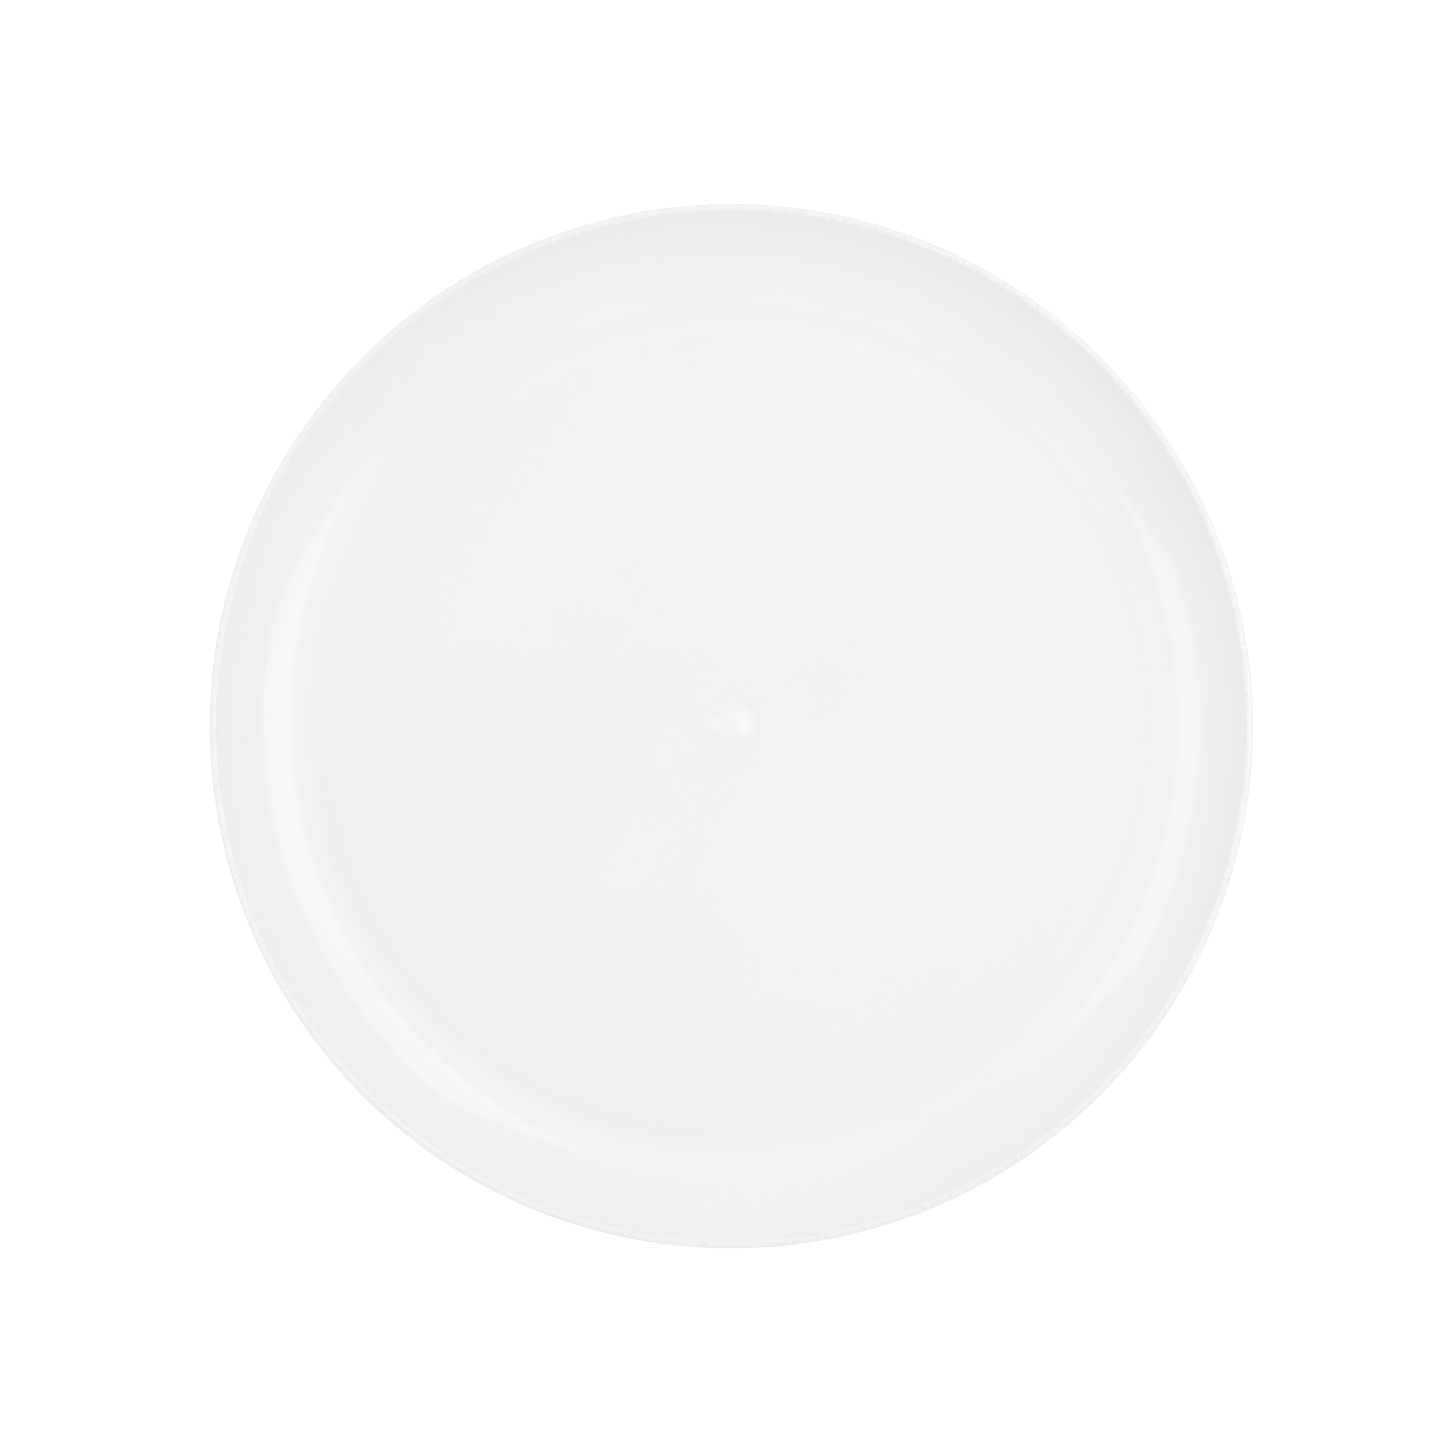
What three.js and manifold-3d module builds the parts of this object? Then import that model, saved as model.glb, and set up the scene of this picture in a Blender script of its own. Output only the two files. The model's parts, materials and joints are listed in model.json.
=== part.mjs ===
// Lazy Susan turntable: a one-piece dish that turns on a caged ring of balls over a low base.
// Millimetres, +Z up, origin on the table under the middle of the base.
import * as THREE from "three";
import { mergeVertices } from "three/addons/utils/BufferGeometryUtils.js";
import Module from "manifold-3d";

// Dish
const RIM_R = 127; // outermost radius of the lip
const WALL = 2; // wall and floor thickness
const FLOOR_TOP = 20.05; // height of the floor's upper face
const FLOOR_FLAT_R = 96.5; // radius where the flat floor starts to dip towards the wall
const FLOOR_R = 100; // radius where the floor turns up into the wall
const FLOOR_DIP = 0.15; // how far the floor has dropped there
const WALL_SLOPE = 58; // degrees from level at the lip
const LIP_R = WALL / 2; // half-round lip
const DOME_R = 5.7; // moulded dome over the end of the screw hole
const DOME_H = 1.6;
const BOSS_R = 9.5; // collar where the stub axle meets the floor
const BOSS_Z = 15.2;
const TRAY_RIBS = 12; // shallow stiffening ribs under the floor
const TRAY_RIB_W = 1.4;
const TRAY_RIB_Z = 16.35;

// Stub axle, moulded with the dish
const AXLE_R = 6;
const AXLE_Z = 6.5; // lower end
const PILOT_R = 2.05; // blind hole for the screw
const PILOT_TOP = 20.5;

// Ball bearing
const BALLS = 16;
const BALL_R = 3.175; // quarter-inch ball
const PITCH_R = 72; // radius of the circle of ball centres
const BALL_PLAY = 0.05; // above and below each ball
const LAND_IN = 66; // raised lands that carry the grooves
const LAND_OUT = 78;
const BASE_LAND_Z = 12;
const TRAY_LAND_Z = 16.85;
const GROOVE_DEPTH = 0.8;
const GROOVE_R = 3.6; // groove arc, a little wider than the ball
const BALL_Z = (BASE_LAND_Z + TRAY_LAND_Z) / 2;

// Ball cage
const CAGE_IN = 66.8;
const CAGE_OUT = 77.2;
const CAGE_T = 1.6;
const COLLAR_R = 5.1; // collar round each pocket
const COLLAR_H = 3.1;
const POCKET_R = 3.425;
const SLOT_R = 1.7; // half the width of the slots between pockets
const SLOT_DEG = 7; // angle between the two ends' centres

// Base
const BASE_R = 88;
const SKIRT_T = 2.2;
const SKIRT_BOTTOM = 1.8;
const SKIRT_TOP = 16.2;
const WEB_BOTTOM = 8.8;
const WEB_TOP = 11;
const HUB_R = 12;
const HUB_BOTTOM = 6.9;
const HUB_TOP = 12.95;
const BASE_RIBS = 8;
const BASE_RIB_W = 1.6;
const BASE_RIB_Z = 3.8; // lower edge of the ribs
const RING_RIB_R = 58; // ring that ties the ribs together, inside the feet
const RING_RIB_T = 1.8;

// Feet
const FEET = 4;
const FOOT_PITCH_R = 75;
const FOOT_R = 6.7;
const FOOT_RECESS_R = 7;
const FOOT_RECESS_Z = 3.3;
const FOOT_BOSS_R = 9;

// Pivot
const BUSH_R = 7.5;
const BUSH_BORE_R = 6.1;
const BUSH_FLANGE_R = 10;
const BUSH_FLANGE_T = 1.2;
const BUSH_BOTTOM = 7.3;
const FIT = 0.05; // gap between pieces that seat on or in each other
const WASHER_R = 10;
const WASHER_HOLE_R = 2.15;
const WASHER_T = 1;
const SCREW_HEAD_R = 4;
const SCREW_HEAD_H = 2.5;
const SCREW_SHANK_R = 1.95;
const SCREW_TIP_Z = 18;

// Facets round a full turn
const TRAY_SEG = 72;
const BASE_SEG = 60;
const CENTRE_SEG = 32;
const SMALL_SEG = 20;
const CAGE_SEG = 12; // each pocket and collar
const BALL_SEG = 12;

const wasm = await Module();
wasm.setup();
const rad = THREE.MathUtils.degToRad;

// A closed geometry as a solid, with the triangles that collapse on the axis dropped.
function solid(geometry) {
  const plain = new THREE.BufferGeometry();
  const source = geometry.index ? geometry.toNonIndexed() : geometry;
  plain.setAttribute("position", source.getAttribute("position"));
  const merged = mergeVertices(plain, 1e-4);
  const index = merged.index.array;
  const kept = [];
  for (let i = 0; i < index.length; i += 3) {
    const [a, b, c] = [index[i], index[i + 1], index[i + 2]];
    if (a !== b && b !== c && c !== a) {
      kept.push(a, b, c);
    }
  }
  const mesh = new wasm.Mesh({
    numProp: 3,
    vertProperties: merged.attributes.position.array,
    triVerts: new Uint32Array(kept),
  });
  return new wasm.Manifold(mesh);
}

const join = (solids) => wasm.Manifold.union(solids);

// A profile of [radius, height] pairs, listed anticlockwise, turned about Z.
function latheGeometry(profile, segments) {
  const points = profile.map(([r, z]) => new THREE.Vector2(r, z));
  return new THREE.LatheGeometry(points, segments).rotateX(Math.PI / 2);
}

const turned = (profile, segments) => solid(latheGeometry(profile, segments));

const closed = (profile) => [...profile, profile[0]];

function ring(inner, outer, low, high, segments) {
  const profile = closed([
    [inner, low],
    [outer, low],
    [outer, high],
    [inner, high],
  ]);
  return turned(profile, segments);
}

// Points on an arc about (r, z), from one angle to another in degrees, both ends included.
function arc(r, z, radius, from, to, steps) {
  const points = [];
  for (let i = 0; i <= steps; i++) {
    const a = rad(from + ((to - from) * i) / steps);
    points.push([r + radius * Math.cos(a), z + radius * Math.sin(a)]);
  }
  return points;
}

// A box between two radii, along the direction of an angle in degrees.
function rib(inner, outer, width, low, high, degrees) {
  const box = new THREE.BoxGeometry(outer - inner, width, high - low);
  box.translate((inner + outer) / 2, 0, (low + high) / 2);
  return solid(box.rotateZ(rad(degrees)));
}

function ribs(count, inner, outer, width, low, high, first) {
  const made = [];
  for (let i = 0; i < count; i++) {
    made.push(rib(inner, outer, width, low, high, first + (360 * i) / count));
  }
  return made;
}

// The solid moved out along X and turned to an angle in degrees.
function placed(geometry, radius, degrees) {
  return solid(geometry.clone().translate(radius, 0, 0).rotateZ(rad(degrees)));
}

function named(name, body, colour, roughness, metalness) {
  const data = body.getMesh();
  const geometry = new THREE.BufferGeometry();
  const positions = new Float32Array(data.numVert * 3);
  for (let i = 0; i < data.numVert; i++) {
    for (let k = 0; k < 3; k++) {
      positions[3 * i + k] = data.vertProperties[data.numProp * i + k];
    }
  }
  geometry.setAttribute("position", new THREE.BufferAttribute(positions, 3));
  geometry.setIndex(new THREE.BufferAttribute(new Uint32Array(data.triVerts), 1));
  const flat = geometry.toNonIndexed();
  flat.computeVertexNormals();
  const material = new THREE.MeshStandardMaterial({ color: colour, roughness, metalness });
  const mesh = new THREE.Mesh(flat, material);
  mesh.name = name;
  return mesh;
}

// Half angle that the groove's arc spans, measured at the arc's centre.
const GROOVE_HALF = THREE.MathUtils.radToDeg(Math.acos(1 - GROOVE_DEPTH / GROOVE_R));

// ---- Dish: floor, swept wall, lip, dome, stub axle, upper race and ribs ----
function makeTray() {
  const underside = FLOOR_TOP - WALL;
  const slope = rad(WALL_SLOPE);
  const lipCentre = RIM_R - LIP_R;
  const wallMid = (lipCentre - FLOOR_R) / Math.sin(slope);
  const innerR = wallMid - WALL / 2;
  const outerR = wallMid + WALL / 2;
  const arcZ = FLOOR_TOP - FLOOR_DIP + innerR;
  const lipZ = arcZ - wallMid * Math.cos(slope);
  const domeR = (DOME_R * DOME_R + DOME_H * DOME_H) / (2 * DOME_H);
  const domeHalf = THREE.MathUtils.radToDeg(Math.asin(DOME_R / domeR));
  const grooveZ = TRAY_LAND_Z + GROOVE_DEPTH - GROOVE_R;
  const dish = turned(
    [
      [0, underside],
      [LAND_IN, underside],
      [LAND_IN, TRAY_LAND_Z],
      ...arc(PITCH_R, grooveZ, GROOVE_R, 90 + GROOVE_HALF, 90 - GROOVE_HALF, 4),
      [LAND_OUT, TRAY_LAND_Z],
      [LAND_OUT, underside],
      [FLOOR_FLAT_R, underside],
      ...arc(FLOOR_R, arcZ, outerR, -90, -90 + WALL_SLOPE, 6),
      ...arc(lipCentre, lipZ, LIP_R, 0, 120, 4),
      ...arc(FLOOR_R, arcZ, innerR, -90 + WALL_SLOPE, -90, 8),
      [FLOOR_FLAT_R, FLOOR_TOP],
      [0, FLOOR_TOP],
    ],
    TRAY_SEG,
  );
  const centre = turned(
    [
      [0, AXLE_Z],
      [AXLE_R - 0.5, AXLE_Z],
      [AXLE_R, AXLE_Z + 0.5],
      [AXLE_R, BOSS_Z],
      [BOSS_R, BOSS_Z],
      [BOSS_R, underside + 0.5],
      [DOME_R, FLOOR_TOP - 0.5],
      ...arc(0, FLOOR_TOP + DOME_H - domeR, domeR, 90 - domeHalf, 90, 4),
    ],
    CENTRE_SEG,
  );
  const pilot = turned(
    [
      [0, AXLE_Z - 1],
      [PILOT_R + 1.4, AXLE_Z - 1],
      [PILOT_R, AXLE_Z + 0.4],
      [PILOT_R, PILOT_TOP],
      [0, PILOT_TOP],
    ],
    SMALL_SEG,
  );
  const stiffeners = ribs(
    TRAY_RIBS,
    BOSS_R - 0.5,
    LAND_IN + 1,
    TRAY_RIB_W,
    TRAY_RIB_Z,
    underside + 0.5,
    15,
  );
  return join([dish, centre, ...stiffeners]).subtract(pilot);
}

// ---- Base: skirt, web, hub, lower race, ribs and foot bosses ----
function makeBase() {
  const inside = BASE_R - SKIRT_T;
  const grooveZ = BASE_LAND_Z - GROOVE_DEPTH + GROOVE_R;
  const bore = BUSH_R + FIT;
  const plate = turned(
    closed([
      [HUB_R - 1, WEB_BOTTOM],
      [inside, WEB_BOTTOM],
      [inside, SKIRT_BOTTOM],
      [BASE_R - 0.6, SKIRT_BOTTOM],
      [BASE_R, SKIRT_BOTTOM + 0.6],
      [BASE_R, SKIRT_TOP - 0.8],
      [BASE_R - 0.8, SKIRT_TOP],
      [inside, SKIRT_TOP],
      [inside, WEB_TOP],
      [LAND_OUT, WEB_TOP],
      [LAND_OUT, BASE_LAND_Z],
      ...arc(PITCH_R, grooveZ, GROOVE_R, GROOVE_HALF - 90, -GROOVE_HALF - 90, 4),
      [LAND_IN, BASE_LAND_Z],
      [LAND_IN, WEB_TOP],
      [HUB_R - 1, WEB_TOP],
    ]),
    BASE_SEG,
  );
  const ribTop = WEB_BOTTOM + 0.5;
  const hub = join([
    ring(bore, HUB_R, HUB_BOTTOM, HUB_TOP, CENTRE_SEG),
    ring(HUB_R - 0.6, HUB_R + 1.6, BASE_RIB_Z, ribTop, CENTRE_SEG),
  ]);
  const pieces = [
    plate,
    hub,
    ring(RING_RIB_R - RING_RIB_T / 2, RING_RIB_R + RING_RIB_T / 2, BASE_RIB_Z, ribTop, BASE_SEG),
    ...ribs(BASE_RIBS, HUB_R - 0.5, inside + 0.5, BASE_RIB_W, BASE_RIB_Z, ribTop, 22.5),
  ];
  const boss = latheGeometry(
    [
      [0, SKIRT_BOTTOM],
      [FOOT_BOSS_R, SKIRT_BOTTOM],
      [FOOT_BOSS_R, ribTop],
      [0, ribTop],
    ],
    SMALL_SEG,
  );
  const recess = latheGeometry(
    [
      [0, 0],
      [FOOT_RECESS_R, 0],
      [FOOT_RECESS_R, FOOT_RECESS_Z],
      [0, FOOT_RECESS_Z],
    ],
    SMALL_SEG,
  );
  const cuts = [];
  for (let i = 0; i < FEET; i++) {
    const degrees = 45 + (360 * i) / FEET;
    pieces.push(placed(boss, FOOT_PITCH_R, degrees));
    pieces.push(
      rib(FOOT_PITCH_R + FOOT_BOSS_R - 1, inside + 0.5, 4, SKIRT_BOTTOM + 1, ribTop, degrees),
    );
    cuts.push(placed(recess, FOOT_PITCH_R, degrees));
  }
  return join(pieces).subtract(join(cuts));
}

// ---- Cage: a thin ring with a collared pocket for each ball and a slot between pockets ----
function slotGeometry(low, high) {
  const half = rad(SLOT_DEG / 2);
  const ends = 2;
  const inner = PITCH_R - SLOT_R;
  const outer = PITCH_R + SLOT_R;
  const shape = new THREE.Shape();
  const corners = [];
  for (let i = 0; i <= ends; i++) {
    const a = -half + (2 * half * i) / ends;
    corners.push([outer * Math.cos(a), outer * Math.sin(a)]);
  }
  for (let i = 1; i < 4; i++) {
    const a = rad((180 * i) / 4);
    const r = PITCH_R + SLOT_R * Math.cos(a);
    const along = half + (SLOT_R * Math.sin(a)) / PITCH_R;
    corners.push([r * Math.cos(along), r * Math.sin(along)]);
  }
  for (let i = 0; i <= ends; i++) {
    const a = half - (2 * half * i) / ends;
    corners.push([inner * Math.cos(a), inner * Math.sin(a)]);
  }
  for (let i = 1; i < 4; i++) {
    const a = rad((180 * i) / 4);
    const r = PITCH_R - SLOT_R * Math.cos(a);
    const along = -half - (SLOT_R * Math.sin(a)) / PITCH_R;
    corners.push([r * Math.cos(along), r * Math.sin(along)]);
  }
  corners.forEach(([x, y], i) => (i ? shape.lineTo(x, y) : shape.moveTo(x, y)));
  shape.closePath();
  const geometry = new THREE.ExtrudeGeometry(shape, {
    depth: high - low,
    bevelEnabled: false,
    steps: 1,
  });
  return geometry.translate(0, 0, low);
}

function makeCage() {
  const low = BALL_Z - CAGE_T / 2;
  const high = BALL_Z + CAGE_T / 2;
  const pieces = [ring(CAGE_IN, CAGE_OUT, low, high, TRAY_SEG)];
  const collar = latheGeometry(
    [
      [0, BALL_Z - COLLAR_H / 2],
      [COLLAR_R, BALL_Z - COLLAR_H / 2],
      [COLLAR_R, BALL_Z + COLLAR_H / 2],
      [0, BALL_Z + COLLAR_H / 2],
    ],
    CAGE_SEG,
  );
  const pocket = latheGeometry(
    [
      [0, BALL_Z - COLLAR_H],
      [POCKET_R, BALL_Z - COLLAR_H],
      [POCKET_R, BALL_Z + COLLAR_H],
      [0, BALL_Z + COLLAR_H],
    ],
    CAGE_SEG,
  );
  const slot = slotGeometry(low - 1, high + 1);
  const cuts = [];
  for (let i = 0; i < BALLS; i++) {
    const degrees = (360 * i) / BALLS;
    pieces.push(placed(collar, PITCH_R, degrees));
    cuts.push(placed(pocket, PITCH_R, degrees));
    cuts.push(placed(slot, 0, degrees + 180 / BALLS));
  }
  return join(pieces).subtract(join(cuts));
}

// ---- Balls: turned about the radial axis that each one rolls on ----
function makeBall(index) {
  const profile = arc(0, 0, BALL_R, -90, 90, BALL_SEG / 2);
  profile[0][0] = 0;
  profile[profile.length - 1][0] = 0;
  const ball = latheGeometry(profile, BALL_SEG).rotateY(Math.PI / 2);
  ball.translate(PITCH_R, 0, BALL_Z);
  return solid(ball.rotateZ(rad((360 * index) / BALLS)));
}

// ---- Pivot: flanged bush, washer and pan-head screw ----
function makeBush() {
  const flangeLow = HUB_TOP + FIT;
  const flangeHigh = flangeLow + BUSH_FLANGE_T;
  const profile = closed([
    [BUSH_BORE_R, BUSH_BOTTOM],
    [BUSH_R - 0.4, BUSH_BOTTOM],
    [BUSH_R, BUSH_BOTTOM + 0.4],
    [BUSH_R, flangeLow],
    [BUSH_FLANGE_R, flangeLow],
    [BUSH_FLANGE_R, flangeHigh],
    [BUSH_BORE_R + 0.4, flangeHigh],
    [BUSH_BORE_R, flangeHigh - 0.4],
  ]);
  return turned(profile, CENTRE_SEG);
}

function makeWasher() {
  const high = AXLE_Z - FIT;
  const low = high - WASHER_T;
  const profile = closed([
    [WASHER_HOLE_R, low],
    [WASHER_R - 0.2, low],
    [WASHER_R, low + 0.2],
    [WASHER_R, high],
    [WASHER_HOLE_R, high],
  ]);
  return turned(profile, CENTRE_SEG);
}

function makeScrew() {
  const seat = AXLE_Z - 2 * FIT - WASHER_T;
  const low = seat - SCREW_HEAD_H;
  const profile = [
    [0, low],
    [SCREW_HEAD_R - 1.6, low],
    [SCREW_HEAD_R - 0.6, low + 0.4],
    [SCREW_HEAD_R, low + 1.3],
    [SCREW_HEAD_R, seat],
    [SCREW_SHANK_R, seat],
    [SCREW_SHANK_R, SCREW_TIP_Z - 1.6],
    [0.5, SCREW_TIP_Z],
    [0, SCREW_TIP_Z],
  ];
  const slot = new THREE.BoxGeometry(4.4, 0.9, 2.4);
  slot.translate(0, 0, low);
  const cross = join([solid(slot), solid(slot.clone().rotateZ(Math.PI / 2))]);
  return turned(profile, SMALL_SEG).subtract(cross);
}

// ---- Foot: a rubber disc with eased edges ----
function makeFoot(index) {
  const high = FOOT_RECESS_Z - FIT;
  const foot = latheGeometry(
    [
      [0, 0],
      [FOOT_R - 0.8, 0],
      [FOOT_R - 0.2, 0.25],
      [FOOT_R, 0.8],
      [FOOT_R, high],
      [0, high],
    ],
    SMALL_SEG,
  );
  return placed(foot, FOOT_PITCH_R, 45 + (360 * index) / FEET);
}

const part = new THREE.Group();
part.name = "lazy_susan_turntable";
part.add(named("tray", makeTray(), 0xf2f2f0, 0.18, 0));
part.add(named("base", makeBase(), 0xe9e9e6, 0.4, 0));
part.add(named("ball_cage", makeCage(), 0xe4ddc8, 0.5, 0));
for (let i = 0; i < BALLS; i++) {
  const number = String(i + 1).padStart(2, "0");
  part.add(named("ball_" + number, makeBall(i), 0xc9ccd0, 0.12, 1));
}
part.add(named("pivot_bush", makeBush(), 0xf0efe8, 0.45, 0));
part.add(named("pivot_washer", makeWasher(), 0xb9bcc0, 0.3, 1));
part.add(named("pivot_screw", makeScrew(), 0xaeb1b5, 0.3, 1));
for (let i = 0; i < FEET; i++) {
  part.add(named("foot_" + (i + 1), makeFoot(i), 0xd8d8d6, 0.85, 0));
}
export default part;
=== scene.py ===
"""Looks of the lazy Susan turntable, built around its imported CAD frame. Metres, +Z up."""

import json
import math

import bmesh
import bpy
from mathutils import Matrix, Quaternion, Vector


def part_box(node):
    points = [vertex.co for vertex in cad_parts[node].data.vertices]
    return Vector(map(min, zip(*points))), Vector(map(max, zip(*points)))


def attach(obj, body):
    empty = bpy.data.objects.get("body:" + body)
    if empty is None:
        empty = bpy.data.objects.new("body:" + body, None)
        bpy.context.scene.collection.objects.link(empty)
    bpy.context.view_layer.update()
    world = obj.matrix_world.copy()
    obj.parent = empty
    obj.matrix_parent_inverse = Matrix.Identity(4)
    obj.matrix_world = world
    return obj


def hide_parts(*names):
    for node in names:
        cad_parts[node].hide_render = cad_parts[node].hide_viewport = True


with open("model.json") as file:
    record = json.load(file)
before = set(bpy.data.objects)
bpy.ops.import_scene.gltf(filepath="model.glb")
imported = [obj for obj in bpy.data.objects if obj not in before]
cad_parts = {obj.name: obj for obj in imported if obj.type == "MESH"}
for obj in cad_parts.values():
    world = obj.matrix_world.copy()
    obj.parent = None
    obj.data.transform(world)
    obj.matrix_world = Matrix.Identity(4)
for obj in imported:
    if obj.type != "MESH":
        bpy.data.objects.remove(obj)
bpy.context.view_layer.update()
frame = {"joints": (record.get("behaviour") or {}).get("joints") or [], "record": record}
MM = 0.001

# ---------------------------------------------------------------- sizes from the frame
TRAY_LOW, TRAY_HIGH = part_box("tray")
BASE_LOW, BASE_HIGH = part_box("base")
CAGE_LOW, CAGE_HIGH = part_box("ball_cage")
BUSH_LOW, BUSH_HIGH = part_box("pivot_bush")
WASHER_LOW, WASHER_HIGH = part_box("pivot_washer")
SCREW_LOW, SCREW_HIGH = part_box("pivot_screw")
MOUNTS = {m["name"]: m for m in frame["record"]["mounts"]}
FLOOR_TOP = MOUNTS["dish_floor"]["pos_m"][2]
RIM_R = TRAY_HIGH.x
BALL_JOINTS = [j for j in frame["joints"] if j["name"].startswith("ball_")]
PITCH_R = math.hypot(*BALL_JOINTS[0]["pos_m"][:2])
BALL_Z = BALL_JOINTS[0]["pos_m"][2]
FEET = [f"foot_{i}" for i in range(1, 5)]

# Dish
WALL = 2.0 * MM
FLOOR_R = RIM_R - 27 * MM  # where the floor ends and the wall's arc starts
FLOOR_FLAT_R = FLOOR_R - 3.5 * MM  # where the floor starts to dip towards the wall
FLOOR_DIP = 0.15 * MM
WALL_SLOPE = 58  # degrees from level, at the lip
DOME_R = 5.7 * MM
DOME_H = 1.6 * MM
DOME_FILLET = 1.5 * MM
BOSS_R = 9.5 * MM
BOSS_Z = 15.2 * MM
AXLE_R = 6 * MM
PILOT_R = 2.05 * MM
PILOT_TOP = 20.5 * MM
TRAY_RIBS = 12
TRAY_RIB_W = 1.4 * MM
TRAY_RIB_Z = 16.35 * MM
TRAY_RIB_START = 15  # degrees

# Race
LAND_IN = 66 * MM
LAND_OUT = 78 * MM
TRAY_LAND_Z = 16.85 * MM
BASE_LAND_Z = 12 * MM
GROOVE_DEPTH = 0.8 * MM
GROOVE_R = 3.6 * MM
GROOVE_HALF = math.degrees(math.acos(1 - GROOVE_DEPTH / GROOVE_R))  # half of the groove's arc, in degrees

# Base
BASE_R = BASE_HIGH.x
SKIRT_T = 2.2 * MM
WEB_BOTTOM = 8.8 * MM
WEB_TOP = 11 * MM
HUB_R = 12 * MM
HUB_BOTTOM = 6.9 * MM
HUB_TOP = 12.95 * MM
HUB_BORE = 7.55 * MM
BASE_RIBS = 8
BASE_RIB_W = 1.6 * MM
BASE_RIB_Z = 3.8 * MM
BASE_RIB_START = 22.5  # degrees
RING_RIB_R = 58 * MM
RING_RIB_T = 1.8 * MM
COLLAR_T = 1.6 * MM  # the ring round the hub that the ribs run into
FOOT_BOSS_R = 9 * MM
FOOT_BOSS_RIB_W = 4 * MM
FOOT_RECESS_R = 7 * MM
FOOT_RECESS_Z = 3.3 * MM
EJECTOR_R = 2.5 * MM  # shallow round marks that the mould's ejector pins leave underneath
EJECTOR_DEPTH = 0.25 * MM
EJECTOR_RS = (24 * MM, 47 * MM)

# Cage
CAGE_T = 1.6 * MM
CAGE_W = 10.4 * MM
POCKET_WALL_R = 5.1 * MM
POCKET_R = 3.425 * MM
POCKET_LEAD = 0.3 * MM  # height of the flare at each end of a pocket
SLOT_R = 1.7 * MM
SLOT_DEG = 7  # angle between the centres of a slot's round ends

# Pivot
BUSH_BORE_R = 6.1 * MM
BUSH_SLEEVE_R = 7.5 * MM
BUSH_FLANGE_T = 1.2 * MM
WASHER_HOLE_R = 2.15 * MM
SCREW_HEAD_T = 2.5 * MM
SCREW_CREST_R = 1.95 * MM
SCREW_ROOT_R = 1.5 * MM
SCREW_PITCH = 1.4 * MM
SCREW_RUN_IN = 1.2 * MM  # the thread grows over this length under the head
SCREW_RUN_OUT = 2.2 * MM  # and shrinks over this length before the tip
SCREW_POINT = 2.6 * MM  # length over which the shank tapers
TIP_TOOTH, TIP_ROOT = 0.12, 0.16  # what is left of the tooth and the root at the tip, as shares
TOOTH_HALF = 0.34  # half of the tooth's foot, as a share of the pitch

# Feet
FOOT_HOLLOW_R = 0.3  # share of the foot's radius
FOOT_HOLLOW_DEPTH = 0.35 * MM
FOOT_GROOVES = (0.52, 0.70)  # where each groove starts, as a share of the foot's radius
FOOT_GROOVE_DEPTH = 0.3 * MM

# Stage: metres, degrees and light strengths
FLOOR_Z = -0.2 * MM  # a hair below the feet, so that the two surfaces don't coincide
# how strongly the floor glows for the camera round the object: painted light
FLOOR_GLOW = 0.40
WORLD_HORIZON, WORLD_TOP, WORLD_OPENING = 1.045, 0.752, 0.51  # strength of the surroundings
OPENING = (7.5, 10.5)  # the dimmer opening overhead fades out between these angles off the vertical
BACKDROP = 0.62  # what the camera sees of the surroundings
CAMERA_DISTANCE = 1.1
CAMERA_TILT_X, CAMERA_TILT_Y = 2.7, -0.7  # from straight above, towards +X and +Y
CAMERA_AIM = Vector((-1.5 * MM, 0.7 * MM, TRAY_HIGH.z - MM))
DISH_SHARE = 0.7228  # the dish's diameter as a share of the picture's width
SENSOR = 36


# ---------------------------------------------------------------- mesh helpers
def arc(r, z, radius, start, end, steps):
    """Points on an arc about (r, z), angles in degrees, both ends included."""
    points = []
    for i in range(steps + 1):
        a = math.radians(start + (end - start) * i / steps)
        points.append((r + radius * math.cos(a), z + radius * math.sin(a)))
    return points


def eased(corners, loop=False, steps=5):
    """A profile whose corners are rounded: each corner is (r, z) or (r, z, fillet in mm)."""
    n = len(corners)
    profile = []
    for i, corner in enumerate(corners):
        p = Vector(corner[:2])
        fillet = corner[2] * MM if len(corner) > 2 else 0
        end = not loop and i in (0, n - 1)
        if fillet <= 0 or end:
            profile.append(tuple(p))
            continue
        u = Vector(corners[i - 1][:2]) - p
        v = Vector(corners[(i + 1) % n][:2]) - p
        room = min(u.length, v.length)
        u.normalize()
        v.normalize()
        half = math.acos(max(-1, min(1, u.dot(v)))) / 2
        back = min(fillet / math.tan(half), 0.49 * room)
        radius = back * math.tan(half)
        centre = p + (u + v).normalized() * radius / math.sin(half)
        a, b = p + u * back - centre, p + v * back - centre
        turn = math.atan2(a.x * b.y - a.y * b.x, a.dot(b))
        start = math.degrees(math.atan2(a.y, a.x))
        profile += arc(centre.x, centre.y, radius, start, start + math.degrees(turn), steps)
    return profile


def supported(profile, loop=False, gap=0.22 * MM):
    """The profile with a point close to each end of a long straight, so that shading stays flat there."""
    out = []
    n = len(profile)
    for i, point in enumerate(profile):
        out.append(point)
        if i == n - 1 and not loop:
            break
        a, b = Vector(point), Vector(profile[(i + 1) % n])
        length = (b - a).length
        if length > 6 * gap:
            step = (b - a).normalized() * gap
            out.append(tuple(a + step))
            out.append(tuple(b - step))
    return out


def linked(name, data):
    """A new object in the scene."""
    made = bpy.data.objects.new(name, data)
    bpy.context.scene.collection.objects.link(made)
    return made


def mesh_object(name, vertices, faces):
    """A new object from points and the faces between them."""
    mesh = bpy.data.meshes.new(name)
    mesh.from_pydata(vertices, [], faces)
    mesh.validate()
    mesh.update()
    return linked(name, mesh)


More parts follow.
